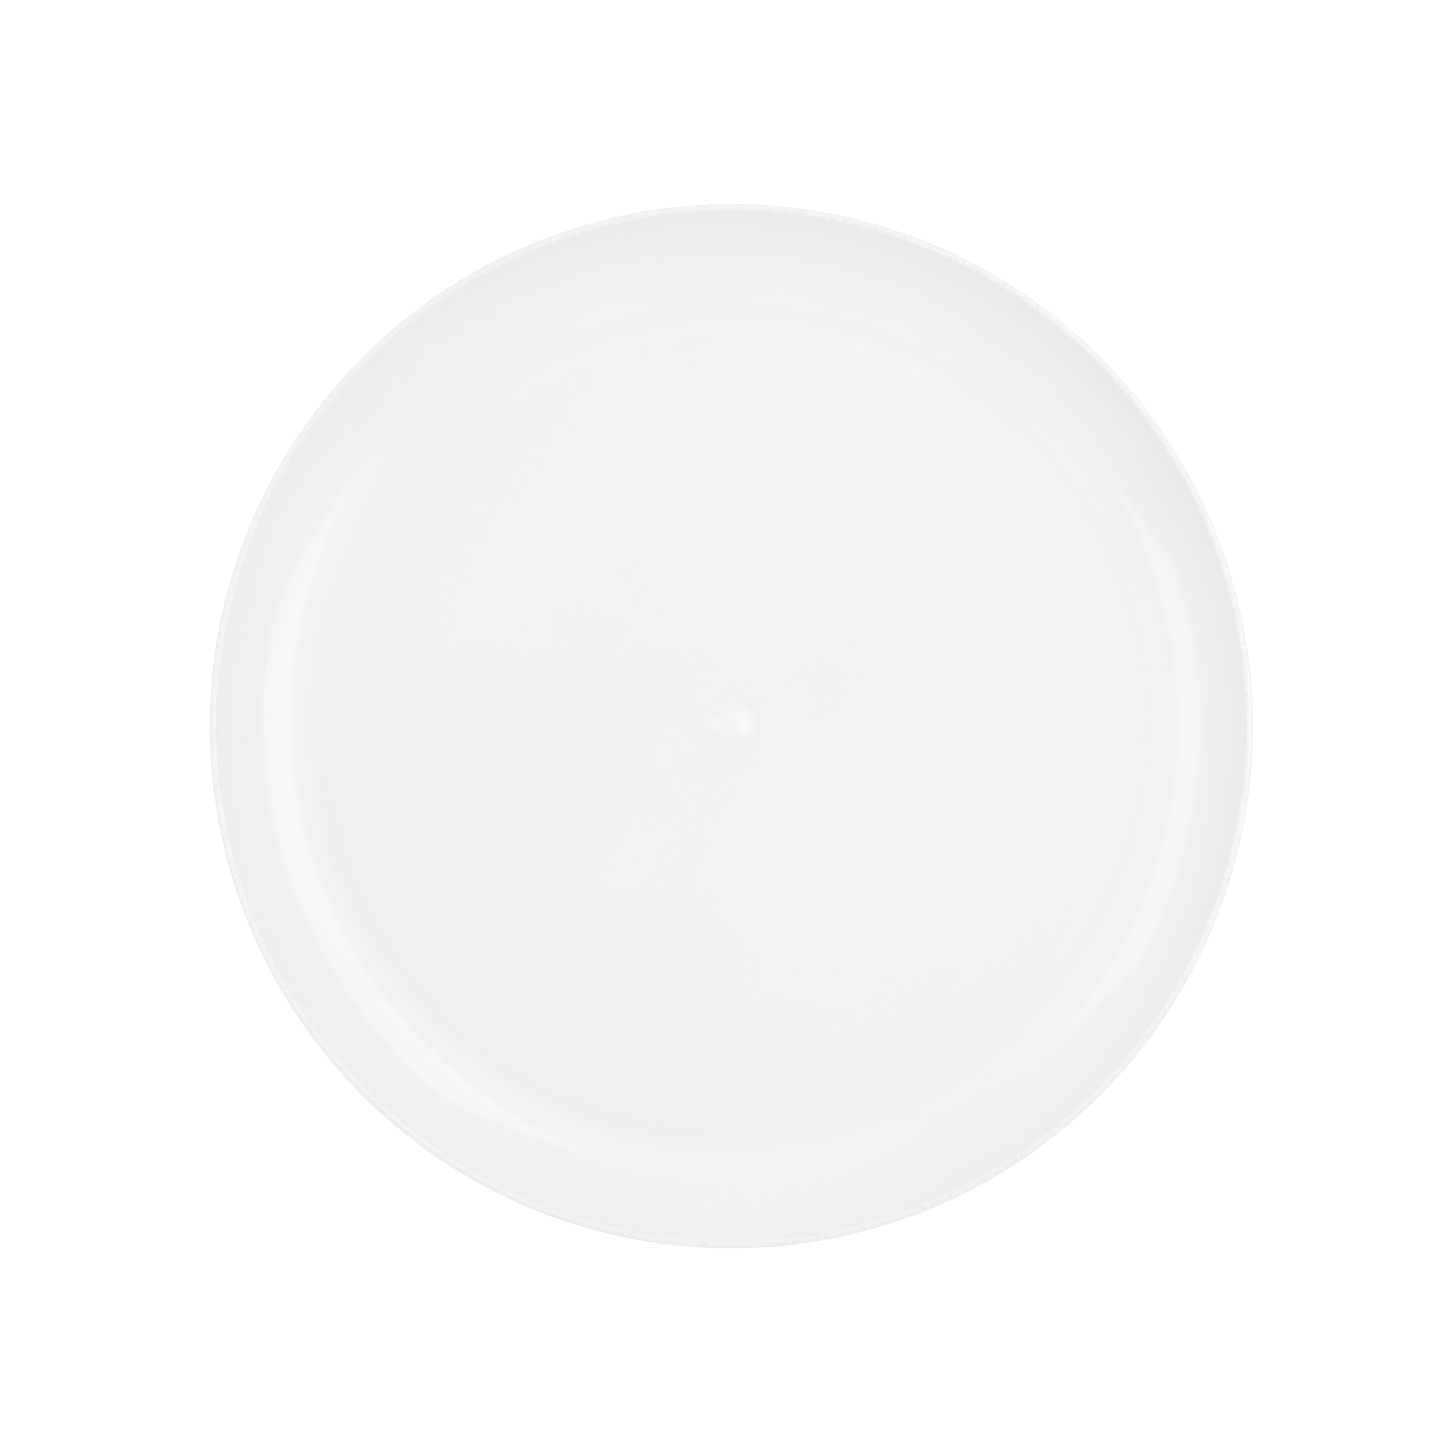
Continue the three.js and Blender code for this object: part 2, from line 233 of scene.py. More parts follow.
def ringed(name, rings, loop=False):
    """A surface through rings of points of equal count, or single points on the axis."""
    vertices, index = [], []
    for ring in rings:
        index.append(list(range(len(vertices), len(vertices) + len(ring))))
        vertices += ring
    faces = []
    nexts = index[1:] + ([index[0]] if loop else [])
    for low, high in zip(index, nexts):
        count = max(len(low), len(high))
        for k in range(count):
            n = (k + 1) % count
            if len(low) == 1 and len(high) > 1:
                faces.append((low[0], high[n], high[k]))
            elif len(high) == 1 and len(low) > 1:
                faces.append((low[k], low[n], high[0]))
            elif len(low) > 1:
                faces.append((low[k], low[n], high[n], high[k]))
    return mesh_object(name, vertices, faces)


def circle(radius, z, segments):
    """Points round the axis, or the one point on it where the radius is nothing."""
    if radius < 1e-7:
        return [(0.0, 0.0, z)]
    turns = (2 * math.pi * k / segments for k in range(segments))
    return [(radius * math.cos(a), radius * math.sin(a), z) for a in turns]


def turned(name, profile, segments, loop=False):
    """A profile of (radius, height) points, listed anticlockwise, turned about Z."""
    return ringed(name, [circle(r, z, segments) for r, z in supported(profile, loop)], loop)


BOX_FACES = ((3, 2, 1, 0), (4, 5, 6, 7), (0, 1, 5, 4), (1, 2, 6, 5), (2, 3, 7, 6), (3, 0, 4, 7))


def tapered_box(low_layer, high_layer):
    """A bmesh box between two layers, each (height, inner end, outer end, half of its width)."""
    body = bmesh.new()
    corners = []
    for z, inner, outer, half in (low_layer, high_layer):
        for x, y in ((inner, -half), (outer, -half), (outer, half), (inner, half)):
            corners.append(body.verts.new((x, y, z)))
    for face in BOX_FACES:
        body.faces.new([corners[i] for i in face])
    return body


def placed(name, body, degrees):
    """An object from a bmesh turned about Z; the bmesh is used up."""
    body.transform(Matrix.Rotation(math.radians(degrees), 4, "Z"))
    mesh = bpy.data.meshes.new(name)
    body.to_mesh(mesh)
    body.free()
    return linked(name, mesh)


def bar(inner, outer, width, low, high, degrees, draft=0.15 * MM, ease=0.25 * MM):
    """A moulded rib along a radius: its lower edge is a little narrower, and eased."""
    body = tapered_box((low, inner, outer, width / 2 - draft), (high, inner, outer, width / 2))
    under = [e for e in body.edges if all(abs(v.co.z - low) < 1e-7 for v in e.verts)]
    bmesh.ops.bevel(body, geom=under, offset=ease, segments=3, profile=0.5, affect="EDGES")
    return placed("rib", body, degrees)


def moved(made, radius, degrees):
    """The piece moved out along X, then turned about Z, in its own mesh."""
    out = Matrix.Translation((radius, 0, 0))
    made.data.transform(Matrix.Rotation(math.radians(degrees), 4, "Z") @ out)
    return made


def discard(made):
    mesh = made.data
    bpy.data.objects.remove(made)
    bpy.data.meshes.remove(mesh)


def boolean(target, tools, operation):
    """target joined with or cut by every tool; the tools are used up."""
    group = bpy.data.collections.new("tools")
    for tool in tools:
        group.objects.link(tool)
    modifier = target.modifiers.new("boolean", "BOOLEAN")
    modifier.operation = operation
    modifier.operand_type = "COLLECTION"
    modifier.collection = group
    modifier.solver = "EXACT"
    graph = bpy.context.evaluated_depsgraph_get()
    graph.update()
    mesh = bpy.data.meshes.new_from_object(target.evaluated_get(graph))
    old = target.data
    target.modifiers.clear()
    target.data = mesh
    bpy.data.meshes.remove(old)
    for tool in tools:
        discard(tool)
    bpy.data.collections.remove(group)


def finished(made, body, slot, material, *nodes, angle=28):
    """Shading, material and bookkeeping for a piece that stands for CAD nodes."""
    mesh = made.data
    mesh.materials.clear()
    mesh.materials.append(material)
    mesh.shade_smooth()
    mesh.set_sharp_from_angle(angle=math.radians(angle))
    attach(made, body)
    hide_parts(*nodes)


# ---------------------------------------------------------------- materials
def fill(tree, node, values):
    """Give a shader node's inputs, by name or number, a plain value or a link."""
    for key, value in values.items():
        if isinstance(value, bpy.types.NodeSocket):
            tree.links.new(value, node.inputs[key])
        else:
            node.inputs[key].default_value = value


def add_node(tree, kind, values=None, **settings):
    """A new shader node with its own settings, and values for its inputs."""
    made = tree.nodes.new(kind)
    for key, value in settings.items():
        setattr(made, key, value)
    fill(tree, made, values or {})
    return made


class Surface:
    """A Principled material built node by node, in object coordinates (metres)."""

    def __init__(self, name, roughness, metallic=0.0, ior=1.5):
        self.material = bpy.data.materials.new(name)
        self.material.use_nodes = True
        self.tree = self.material.node_tree
        self.shader = self.tree.nodes["Principled BSDF"]
        self.set({"Roughness": roughness, "Metallic": metallic, "IOR": ior})
        self.place = self.node("ShaderNodeTexCoord").outputs["Object"]
        self.normal = None

    def set(self, values):
        fill(self.tree, self.shader, values)

    def node(self, kind, values=None, **settings):
        return add_node(self.tree, kind, values, **settings)

    def noise(self, scale, detail=2.0, roughness=0.5, stretch=None, distortion=0.0):
        """Noise with that many features per metre, stretched along the axes if asked."""
        place = self.place
        if stretch:
            place = self.node("ShaderNodeMapping", {"Vector": place, "Scale": stretch}).outputs["Vector"]
        values = {"Vector": place, "Scale": scale, "Detail": detail, "Roughness": roughness}
        values["Distortion"] = distortion
        return self.node("ShaderNodeTexNoise", values).outputs["Fac"]

    def spread(self, value, low, high, to_low, to_high):
        """The value's range from low to high turned into to_low to to_high, and no further."""
        values = {"Value": value, "From Min": low, "From Max": high, "To Min": to_low, "To Max": to_high}
        return self.node("ShaderNodeMapRange", values, clamp=True).outputs["Result"]

    def math(self, operation, a, b):
        return self.node("ShaderNodeMath", {0: a, 1: b}, operation=operation).outputs[0]

    def mix(self, factor, a, b):
        """Colour a where factor is 0, b where it is 1."""
        a, b = (end if isinstance(end, bpy.types.NodeSocket) else (*end, 1) for end in (a, b))
        made = self.node("ShaderNodeMix", {0: factor}, data_type="RGBA")
        first, second = (i for i, socket in enumerate(made.inputs) if socket.type == "RGBA")
        fill(self.tree, made, {first: a, second: b})
        return next(socket for socket in made.outputs if socket.type == "RGBA")

    def bump(self, height, distance):
        """One more layer of relief, that many metres high."""
        values = {"Height": height, "Distance": distance, "Strength": 1.0}
        if self.normal is not None:
            values["Normal"] = self.normal
        self.normal = self.node("ShaderNodeBump", values).outputs["Normal"]

    def axial(self):
        """Distance from the turntable's axis, and height, at each point."""
        x, y, z = self.node("ShaderNodeSeparateXYZ", {0: self.place}).outputs
        square = self.math("ADD", self.math("MULTIPLY", x, x), self.math("MULTIPLY", y, y))
        return self.math("SQRT", square, 0.0), z

    def done(self, colour, roughness):
        self.set({"Base Color": colour, "Roughness": roughness, "Normal": self.normal})
        return self.material


def grey(value, warm=0.0):
    """A grey, a little towards orange if warm."""
    return (value + warm, value, value - warm)


def dish_plastic():
    """Gloss white moulded plastic: faint flow in the colour, handling haze and hairline scratches."""
    s = Surface("gloss_white_plastic", 0.1, ior=1.59)
    radius, height = s.axial()
    flow = s.spread(s.noise(14, 3, 0.55), 0.35, 0.65, 0, 1)
    colour = s.mix(flow, grey(0.885), grey(0.895))
    scuffs = s.spread(s.noise(900, 4, 0.6), 0.52, 0.72, 0, 1)
    lip = s.spread(height, TRAY_HIGH.z - 1.2 * MM, TRAY_HIGH.z, 0, 1)
    worn = s.math("MULTIPLY", scuffs, lip)
    colour = s.mix(worn, colour, grey(0.80))
    haze = s.spread(s.noise(26, 4, 0.6, distortion=0.4), 0.3, 0.7, 0.085, 0.135)
    across = s.spread(s.noise(1, 3, 0.5, (2600, 55, 90), 0.6), 0.66, 0.76, 0, 1)
    along = s.spread(s.noise(1, 3, 0.5, (70, 2300, 90), 0.6), 0.67, 0.77, 0, 1)
    scratch = s.math("MAXIMUM", across, along)
    flat = s.spread(radius, FLOOR_R - 12 * MM, FLOOR_R + 6 * MM, 1, 0.15)
    scratch = s.math("MULTIPLY", scratch, flat)
    roughness = s.math("ADD", haze, s.math("MULTIPLY", scratch, 0.05))
    roughness = s.math("ADD", roughness, s.math("MULTIPLY", worn, 0.2))
    s.bump(s.noise(330, 1.5, 0.4), 1.2e-6)
    s.bump(scratch, -1.2e-6)
    s.bump(worn, -12e-6)
    return s.done(colour, roughness)


def base_plastic():
    """Satin white plastic with a fine spark-eroded grain, darker and rougher in patches towards the bottom.
    """
    s = Surface("satin_white_plastic", 0.42)
    _, height = s.axial()
    cloud = s.spread(s.noise(20, 3, 0.55), 0.35, 0.65, 0, 1)
    colour = s.mix(cloud, grey(0.80, 0.002), grey(0.825, 0.001))
    # darker and rougher in noisy patches over the lowest 5 mm, towards the table
    low = s.spread(height, BASE_LOW.z, BASE_LOW.z + 5 * MM, 1, 0)
    low_patches = s.math("MULTIPLY", low, s.spread(s.noise(120, 4, 0.55), 0.25, 0.8, 0, 1))
    colour = s.mix(low_patches, colour, grey(0.72, 0.006))
    roughness = s.spread(s.noise(90, 4, 0.6), 0.3, 0.7, 0.36, 0.5)
    roughness = s.math("ADD", roughness, s.math("MULTIPLY", low_patches, 0.25))
    s.bump(s.noise(2600, 2, 0.6), 20e-6)
    s.bump(s.noise(240, 2, 0.5), 10e-6)
    return s.done(colour, roughness)


def cage_plastic():
    """Natural nylon: slightly yellow, with a waxy sheen and a trace of grease."""
    s = Surface("natural_nylon", 0.45)
    cloud = s.spread(s.noise(60, 4, 0.6), 0.3, 0.7, 0, 1)
    colour = s.mix(cloud, (0.72, 0.68, 0.55), (0.80, 0.77, 0.66))
    grease = s.spread(s.noise(45, 3, 0.5, distortion=1.2), 0.52, 0.66, 0, 1)
    colour = s.mix(grease, colour, (0.66, 0.60, 0.42))
    dry = s.spread(s.noise(400, 3), 0.3, 0.7, 0.4, 0.52)
    roughness = s.math("SUBTRACT", dry, s.math("MULTIPLY", grease, 0.22))
    s.bump(s.noise(1500, 2), 15e-6)
    return s.done(colour, roughness)


def bush_plastic():
    """Natural acetal with faint turning marks round it."""
    s = Surface("acetal", 0.38)
    cloud = s.spread(s.noise(120, 3, 0.5), 0.3, 0.7, 0, 1)
    colour = s.mix(cloud, grey(0.80, 0.012), grey(0.86, 0.008))
    roughness = s.spread(s.noise(500, 3, 0.6), 0.3, 0.7, 0.32, 0.46)
    s.bump(s.noise(1, 2, 0.5, (900, 900, 5200)), 12e-6)
    return s.done(colour, roughness)


def steel(name, tint, low, high, grain, depth, stain):
    """Metal with a fine grain, an uneven polish between two roughnesses and faint darker stains."""
    s = Surface(name, low, 1.0)
    cloud = s.spread(s.noise(180, 4, 0.6), 0.3, 0.7, 0, 1)
    colour = s.mix(cloud, [c * 0.93 for c in tint], tint)
    marks = s.spread(s.noise(700, 5, 0.7), 0.6, 0.78, 0, 1)
    colour = s.mix(marks, colour, [c * stain for c in tint])
    polish = s.spread(s.noise(320, 4, 0.6), 0.3, 0.7, low, high)
    roughness = s.math("ADD", polish, s.math("MULTIPLY", marks, 0.12))
    s.bump(s.noise(1, 3, 0.6, grain), depth)
    return s.done(colour, roughness)


def foot_rubber():
    """Matt grey rubber, darker towards the bottom, where it meets the table."""
    s = Surface("grey_rubber", 0.8)
    _, height = s.axial()
    cloud = s.spread(s.noise(240, 4, 0.6), 0.3, 0.7, 0, 1)
    colour = s.mix(cloud, grey(0.50, 0.004), grey(0.58, 0.004))
    # darker over the lowest 0.9 mm, by an amount that varies in small spots
    low = s.spread(height, 0, 0.9 * MM, 1, 0)
    bottom_darkening = s.math("MULTIPLY", low, s.spread(s.noise(900, 5, 0.7), 0.35, 0.65, 0.2, 1))
    colour = s.mix(bottom_darkening, colour, grey(0.36, 0.01))
    roughness = s.spread(s.noise(600, 4, 0.6), 0.3, 0.7, 0.7, 0.9)
    s.bump(s.noise(3500, 3, 0.6), 30e-6)
    return s.done(colour, roughness)


DISH = dish_plastic()
BASE = base_plastic()
NYLON = cage_plastic()
ACETAL = bush_plastic()
BALL_STEEL = steel(
    "polished_steel", (0.80, 0.81, 0.82), low=0.06, high=0.14, grain=(900, 2600, 900), depth=2e-6, stain=0.8
)
ZINC = steel(
    "zinc_plate", (0.70, 0.72, 0.75), low=0.24, high=0.38, grain=(1400, 1400, 5200), depth=10e-6, stain=0.7
)
RUBBER = foot_rubber()


# ---------------------------------------------------------------- dish
def dish_wall():
    """The wall and its rounded lip, up the outside and down the inside to where the floor ends."""
    lip = WALL / 2
    slope = math.radians(WALL_SLOPE)
    centre_r = RIM_R - lip
    middle = (centre_r - FLOOR_R) / math.sin(slope)
    inner, outer = middle - lip, middle + lip
    centre_z = FLOOR_TOP - FLOOR_DIP + inner
    lip_z = centre_z - middle * math.cos(slope)
    outside = arc(FLOOR_R, centre_z, outer, -90, WALL_SLOPE - 90, 56)
    over = arc(centre_r, lip_z, lip, WALL_SLOPE - 90, WALL_SLOPE + 90, 18)
    inside = arc(FLOOR_R, centre_z, inner, WALL_SLOPE - 90, -90, 64)
    return outside + over[1:] + inside[1:]


def dish_floor():
    """The floor's easy rise from the wall's foot to its flat part, then the dome in the middle."""
    steps = 12
    points = []
    for i in range(1, steps + 1):
        rise = (1 - math.cos(math.pi * i / steps)) / 2
        r = FLOOR_R + (FLOOR_FLAT_R - FLOOR_R) * i / steps
        points.append((r, FLOOR_TOP - FLOOR_DIP * (1 - rise)))
    dome_r = (DOME_R**2 + DOME_H**2) / (2 * DOME_H)
    reach = dome_r + DOME_FILLET
    foot_r = math.sqrt(reach**2 - (reach - DOME_H) ** 2)
    dome_half = math.degrees(math.asin(foot_r / reach))
    points += arc(foot_r, FLOOR_TOP + DOME_FILLET, DOME_FILLET, -90, -90 - dome_half, 8)
    points += arc(0, FLOOR_TOP + DOME_H - dome_r, dome_r, 90 - dome_half, 90, 16)[1:]
    return points


def make_tray():
    """The dish with its stub axle, upper ball race, ribs and dome, in one moulding."""
    under = FLOOR_TOP - WALL
    groove_z = TRAY_LAND_Z + GROOVE_DEPTH - GROOVE_R
    groove = arc(PITCH_R, groove_z, GROOVE_R, 90 + GROOVE_HALF, 90 - GROOVE_HALF, 14)
    axle = eased(
        [
            (0, PILOT_TOP),
            (PILOT_R, PILOT_TOP, 0.3),
            (PILOT_R, TRAY_LOW.z + 0.4 * MM, 0.1),
            (PILOT_R + 0.4 * MM, TRAY_LOW.z, 0.1),
            (AXLE_R - 0.5 * MM, TRAY_LOW.z, 0.2),
            (AXLE_R, TRAY_LOW.z + 0.5 * MM, 0.2),
            (AXLE_R, BOSS_Z, 0.15),
            (BOSS_R, BOSS_Z, 0.4),
            (BOSS_R, under, 0.8),
            (LAND_IN, under, 0.5),
            (LAND_IN, TRAY_LAND_Z, 0.3),
            (PITCH_R - GROOVE_R, TRAY_LAND_Z),
        ]
    )[:-1]
    rest = eased(
        [
            (PITCH_R + GROOVE_R, TRAY_LAND_Z),
            (LAND_OUT, TRAY_LAND_Z, 0.3),
            (LAND_OUT, under, 0.5),
            (FLOOR_FLAT_R, under, 3.0),
            (FLOOR_R, under - FLOOR_DIP),
        ]
    )[1:-1]
    profile = axle + groove + rest + dish_wall() + dish_floor()
    tray = turned("dish", profile, 288)
    ribs = []  # each reaches a little into the boss, the race and the floor
    for i in range(TRAY_RIBS):
        degrees = TRAY_RIB_START + 360 * i / TRAY_RIBS
        inner, outer = BOSS_R - 0.6 * MM, LAND_IN + MM
        ribs.append(bar(inner, outer, TRAY_RIB_W, TRAY_RIB_Z, under + 0.4 * MM, degrees))
    boolean(tray, ribs, "UNION")
    finished(tray, "tray_body", "dish_plastic", DISH, "tray")


# ---------------------------------------------------------------- base
def make_base():
    """The base plate with its skirt, hub, lower ball race, ribs, foot bosses and ejector marks."""
    inside = BASE_R - SKIRT_T
    groove_z = BASE_LAND_Z - GROOVE_DEPTH + GROOVE_R
    groove = arc(PITCH_R, groove_z, GROOVE_R, GROOVE_HALF - 90, -GROOVE_HALF - 90, 14)
    outside = eased(
        [
            (HUB_BORE, HUB_BOTTOM),
            (HUB_R, HUB_BOTTOM, 0.4),
            (HUB_R, WEB_BOTTOM, 0.5),
            (inside, WEB_BOTTOM, 0.8),
            (inside, BASE_LOW.z, 0.3),
            (BASE_R, BASE_LOW.z, 0.7),
            (BASE_R, BASE_HIGH.z, 0.9),
            (inside, BASE_HIGH.z, 0.4),
            (inside, WEB_TOP, 0.8),
            (LAND_OUT, WEB_TOP, 0.4),
            (LAND_OUT, BASE_LAND_Z, 0.3),
            (PITCH_R + GROOVE_R, BASE_LAND_Z),
        ]
    )[:-1]
    middle = eased(
        [
            (PITCH_R - GROOVE_R, BASE_LAND_Z),
            (LAND_IN, BASE_LAND_Z, 0.3),
            (LAND_IN, WEB_TOP, 0.4),
            (HUB_R, WEB_TOP, 0.6),
            (HUB_R, HUB_TOP, 0.3),
            (HUB_BORE, HUB_TOP),
        ]
    )[1:]
    base = turned("base_plate", outside + groove + middle, 240, loop=True)
    top = WEB_BOTTOM + 0.4 * MM
    joined = []  # each reaches a little into the web, and into the hub or the skirt where it meets them
    for i in range(BASE_RIBS):
        degrees = BASE_RIB_START + 360 * i / BASE_RIBS
        joined.append(bar(HUB_R - 0.5 * MM, inside + 0.5 * MM, BASE_RIB_W, BASE_RIB_Z, top, degrees))
    half = RING_RIB_T / 2
    tie = eased(
        [
            (RING_RIB_R - half, BASE_RIB_Z, 0.25),
            (RING_RIB_R + half, BASE_RIB_Z, 0.25),
            (RING_RIB_R + half, top),
            (RING_RIB_R - half, top),
        ],
        loop=True,
    )
    joined.append(turned("tie", tie, 160, loop=True))
    collar = eased(
        [
            (HUB_R - 0.6 * MM, BASE_RIB_Z, 0.2),
            (HUB_R + COLLAR_T, BASE_RIB_Z, 0.3),
            (HUB_R + COLLAR_T, top),
            (HUB_R - 0.6 * MM, top),
        ],
        loop=True,
    )
    joined.append(turned("collar", collar, 96, loop=True))
    cuts = []
    for name in FEET:
        low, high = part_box(name)
        centre = (low + high) / 2
        out = math.hypot(centre.x, centre.y)
        degrees = math.degrees(math.atan2(centre.y, centre.x))
        boss = eased([(0, BASE_LOW.z), (FOOT_BOSS_R, BASE_LOW.z, 0.4), (FOOT_BOSS_R, top), (0, top)])
        joined.append(moved(turned("boss", boss, 64), out, degrees))
        inner, outer = out + FOOT_BOSS_R - MM, inside + 0.5 * MM
        joined.append(bar(inner, outer, FOOT_BOSS_RIB_W, BASE_LOW.z + MM, top, degrees))
        recess = [(0, 0), (FOOT_RECESS_R, 0), (FOOT_RECESS_R, FOOT_RECESS_Z), (0, FOOT_RECESS_Z)]
        cuts.append(moved(turned("recess", recess, 64), out, degrees))
    for i in range(BASE_RIBS):
        for radius in EJECTOR_RS:
            low, high = WEB_BOTTOM - MM, WEB_BOTTOM + EJECTOR_DEPTH
            pin = [(0, low), (EJECTOR_R, low), (EJECTOR_R, high), (0, high)]
            cuts.append(moved(turned("ejector_mark", pin, 40), radius, 360 * i / BASE_RIBS))
    boolean(base, joined, "UNION")
    boolean(base, cuts, "DIFFERENCE")
    finished(base, "base_body", "base_plastic", BASE, "base")


# ---------------------------------------------------------------- cage
def slot_cutter(low, high, degrees):
    """A slot along the pitch circle with round ends."""
    outline = []  # pairs of radius and angle
    half = math.radians(SLOT_DEG / 2)
    steps, straight = 10, 5
    for side, sign in ((half, 1), (-half, -1)):
        for i in range(steps + 1):
            a = math.pi * i / steps
            r = PITCH_R + sign * SLOT_R * math.cos(a)
            outline.append((r, side + sign * SLOT_R * math.sin(a) / PITCH_R))
        for i in range(1, straight):
            outline.append((PITCH_R - sign * SLOT_R, side - 2 * side * i / straight))
    turn = math.radians(degrees)

    def ring(points, z):
        return [(r * math.cos(a + turn), r * math.sin(a + turn), z) for r, a in points]

    middle = [(PITCH_R, 0)]
    return ringed("slot", [ring(middle, low), ring(outline, low), ring(outline, high), ring(middle, high)])


def make_cage():
    """A flat ring with a walled pocket for each ball and a slot between each two."""
    inner = CAGE_HIGH.x - CAGE_W
    low, high = BALL_Z - CAGE_T / 2, BALL_Z + CAGE_T / 2
    edge = [(inner, low, 0.3), (CAGE_HIGH.x, low, 0.3), (CAGE_HIGH.x, high, 0.3), (inner, high, 0.3)]
    cage = turned("cage_ring", eased(edge, loop=True, steps=3), 192, loop=True)
    joined, cuts = [], []
    for joint in BALL_JOINTS:
        degrees = math.degrees(math.atan2(joint["pos_m"][1], joint["pos_m"][0]))
        wall = [
            (0, CAGE_LOW.z),
            (POCKET_WALL_R, CAGE_LOW.z, 0.3),
            (POCKET_WALL_R, CAGE_HIGH.z, 0.3),
            (0, CAGE_HIGH.z),
        ]
        joined.append(moved(turned("pocket_wall", eased(wall, steps=3), 40), PITCH_R, degrees))
        pocket = [
            (0, CAGE_LOW.z - MM),
            (POCKET_R + MM, CAGE_LOW.z - MM),
            (POCKET_R, CAGE_LOW.z + POCKET_LEAD),
            (POCKET_R, CAGE_HIGH.z - POCKET_LEAD),
            (POCKET_R + MM, CAGE_HIGH.z + MM),
            (0, CAGE_HIGH.z + MM),
        ]
        cuts.append(moved(turned("pocket", pocket, 40), PITCH_R, degrees))
        cuts.append(slot_cutter(low - MM, high + MM, degrees + 180 / len(BALL_JOINTS)))
    boolean(cage, joined, "UNION")
    boolean(cage, cuts, "DIFFERENCE")
    finished(cage, "cage_body", "cage_plastic", NYLON, "ball_cage")


# ---------------------------------------------------------------- balls
def make_ball(joint):
    """A ball turned about the axis it rolls on."""
    node = joint["name"].removesuffix("_roll")
    low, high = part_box(node)
    radius = (high.z - low.z) / 2
    rings = [circle(r, z, 40) for r, z in arc(0, 0, radius, -90, 90, 20)]
    ball = ringed(node + "_polished", rings)
    turn = Vector((0, 0, 1)).rotation_difference(Vector(joint["axis"])).to_matrix().to_4x4()
    ball.data.transform(Matrix.Translation(joint["pos_m"]) @ turn)
    finished(ball, joint["child"], "ball_steel", BALL_STEEL, node, angle=60)


# ---------------------------------------------------------------- pivot
def make_bush():
    """The flanged sleeve in the base's hub, in which the dish's stub axle turns."""
    seat = BUSH_HIGH.z - BUSH_FLANGE_T
    profile = eased(
        [
            (BUSH_BORE_R, BUSH_LOW.z, 0.3),
            (BUSH_SLEEVE_R, BUSH_LOW.z, 0.5),
            (BUSH_SLEEVE_R, seat, 0.15),
            (BUSH_HIGH.x, seat, 0.25),
            (BUSH_HIGH.x, BUSH_HIGH.z, 0.35),
            (BUSH_BORE_R, BUSH_HIGH.z, 0.4),
        ],
        loop=True,
    )
    bush = turned("flanged_bush", profile, 96, loop=True)
    finished(bush, "base_body", "bush_plastic", ACETAL, "pivot_bush")


def make_washer():
    """The washer that keeps the dish on: stamped, so one outer edge is rounder."""
    profile = eased(
        [
            (WASHER_HOLE_R, WASHER_LOW.z, 0.12),
            (WASHER_HIGH.x, WASHER_LOW.z, 0.3),
            (WASHER_HIGH.x, WASHER_HIGH.z, 0.12),
            (WASHER_HOLE_R, WASHER_HIGH.z, 0.12),
        ],
        loop=True,
    )
    washer = turned("retaining_washer", profile, 96, loop=True)
    finished(washer, "tray_body", "hardware_steel", ZINC, "pivot_washer")


def thread_ring(z, start, tip, segments):
    """One ring of the thread's surface: shallower at its start, and tapered towards the tip."""
    fade = min(1, (z - start) / SCREW_RUN_IN, max(0, (tip - z) / SCREW_RUN_OUT) + TIP_TOOTH)
    taper = min(1, (tip - z) / SCREW_POINT + TIP_ROOT)
    ring = []
    for k in range(segments):
        turn = k / segments
        phase = ((z - start) / SCREW_PITCH - turn) % 1
        tooth = max(0, 1 - abs(phase - 0.5) / TOOTH_HALF)
        r = SCREW_ROOT_R * taper + (SCREW_CREST_R - SCREW_ROOT_R) * tooth * fade
        ring.append((r * math.cos(2 * math.pi * turn), r * math.sin(2 * math.pi * turn), z))
    return ring


def make_screw():
    """Pan-head screw: head, threaded shank, tapered point and a cross recess."""
    segments = 48
    head, low, tip = SCREW_HIGH.x, SCREW_LOW.z, SCREW_HIGH.z
    seat = low + SCREW_HEAD_T
    profile = eased(
        [
            (0, low),
            (head - 1.4 * MM, low, 1.2),
            (head, low + 1.1 * MM, 1.2),
            (head, seat, 0.25),
            (SCREW_ROOT_R, seat, 0.1),
            (SCREW_ROOT_R, seat + 0.3 * MM),
        ],
        steps=8,
    )
    rings = [circle(r, z, segments) for r, z in profile]
    start, end = seat + 0.4 * MM, tip - 0.15 * MM
    count = 130
    for i in range(count):
        rings.append(thread_ring(start + (end - start) * i / (count - 1), start, tip, segments))
    rings.append([(0.0, 0.0, tip)])
    screw = ringed("pan_head_screw", rings)
    mouth = (low - 0.6 * MM, -2.3 * MM, 2.3 * MM, 0.5 * MM)
    bottom = (low + 1.3 * MM, -1.2 * MM, 1.2 * MM, 0.32 * MM)
    cross = [placed("arm", tapered_box(mouth, bottom), degrees) for degrees in (0, 90)]
    boolean(screw, cross, "DIFFERENCE")
    finished(screw, "tray_body", "hardware_steel", ZINC, "pivot_screw", angle=35)


